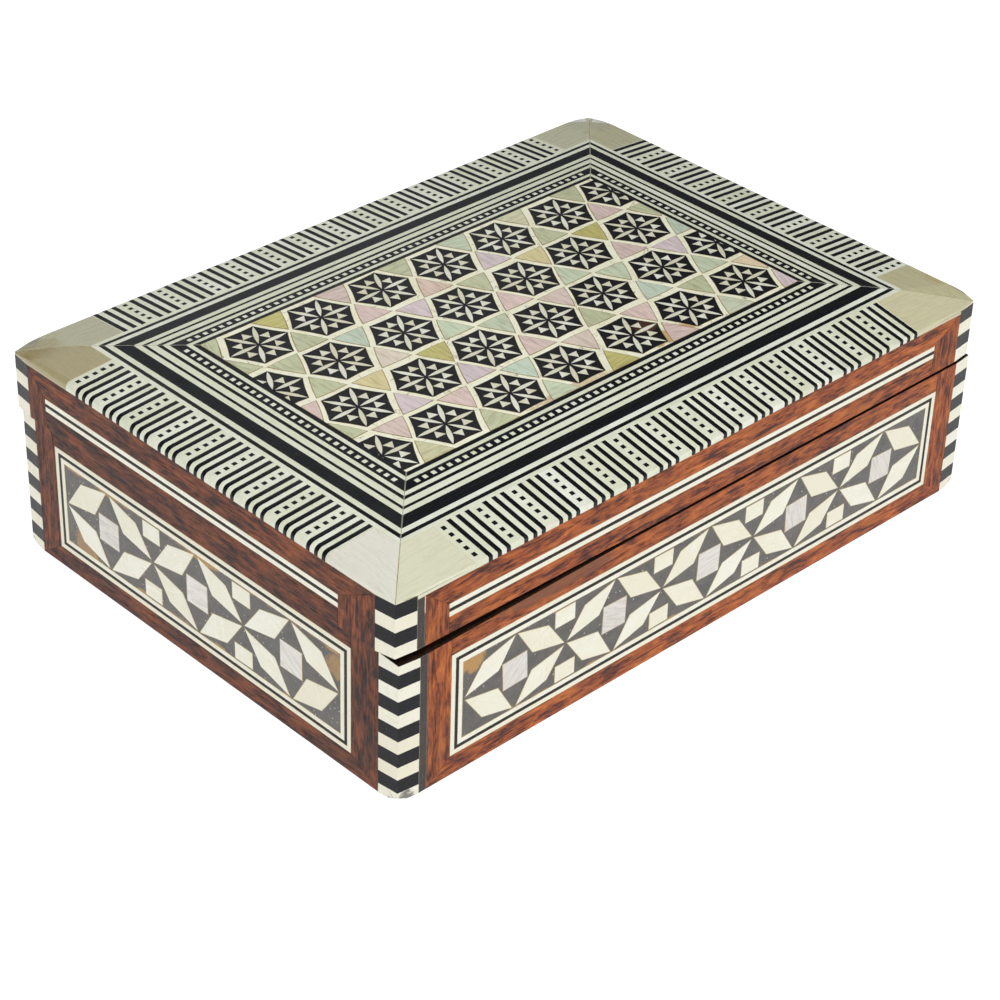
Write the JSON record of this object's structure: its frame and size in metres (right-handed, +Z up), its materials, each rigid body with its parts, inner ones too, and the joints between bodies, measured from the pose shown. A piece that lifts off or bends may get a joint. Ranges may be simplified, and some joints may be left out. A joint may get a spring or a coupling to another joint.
{
  "type": "inlaid wooden box",
  "caption": "Oblong keepsake box with a hinged lid, cut corners, and bone, ebony and mother-of-pearl inlay over wood; velvet lined inside, felt underneath.",
  "frame": {"origin": "middle of the underside", "axes": "+Z up, -Y towards the front, +X to the right along the front; the hinges are at +Y"},
  "size_m": [0.1609, 0.1147, 0.048],
  "materials": {
    "carcass_wood": "sanded, unfinished inside",
    "red_wood": "lacquered to a gloss",
    "ebony": "lacquered to a gloss",
    "bone": "polished under lacquer",
    "pearl": "iridescent, polished under lacquer",
    "shell": "iridescent, polished under lacquer",
    "dark_resin": "filled resin under lacquer",
    "cream_resin": "shell dust in resin under lacquer",
    "brass": "polished, slightly tarnished",
    "velvet": "short pile velvet",
    "felt": "pressed felt"
  },
  "bodies": {
    "base": {"underside_felt": "felt", "base_floor": "carcass_wood", "base_front_wall": "carcass_wood", "base_right_wall": "carcass_wood", "base_back_wall": "carcass_wood", "base_left_wall": "carcass_wood", "base_front_frame": "red_wood", "base_right_frame": "red_wood", "base_back_frame": "red_wood", "base_left_frame": "red_wood", "base_white_lines": "bone", "base_black_lines": "ebony", "base_panel_grounds": "dark_resin", "base_bone_lozenges": "bone", "base_bone_tabs": "bone", "base_pearl_squares": "pearl", "base_column_ebony": "ebony", "base_column_bone": "bone", "base_edge_filler": "dark_resin", "base_lining_walls": "velvet", "base_lining_floor": "velvet", "base_hinge_leaves": "brass", "hinge_pins": "brass", "base_hinge_screws": "brass"},
    "lid": {"lid_top_board": "carcass_wood", "lid_front_wall": "carcass_wood", "lid_right_wall": "carcass_wood", "lid_back_wall": "carcass_wood", "lid_left_wall": "carcass_wood", "lid_front_frame": "red_wood", "lid_right_frame": "red_wood", "lid_back_frame": "red_wood", "lid_left_frame": "red_wood", "lid_white_lines": "bone", "lid_black_lines": "ebony", "lid_column_ebony": "ebony", "lid_column_bone": "bone", "lid_edge_filler": "dark_resin", "border_bone": "bone", "border_ebony_bars": "ebony", "border_ebony_dots": "ebony", "border_corner_shells": "shell", "top_white_lines": "bone", "top_black_lines": "ebony", "top_black_band": "ebony", "checker_band": "ebony", "checker_squares": "bone", "mosaic_ground": "cream_resin", "star_tiles": "ebony", "star_slivers": "bone", "star_points": "bone", "shell_triangles": "shell", "lid_lining_walls": "velvet", "lid_lining_pad": "velvet", "lid_hinge_leaves": "brass", "lid_hinge_screws": "brass"}
  },
  "joints": [
    {"name": "lid_hinge", "type": "hinge", "parent": "base", "child": "lid", "pos_m": [0, 0.05745, 0.032], "axis": [-1, 0, 0], "range_deg": [0, 105]}
  ]
}
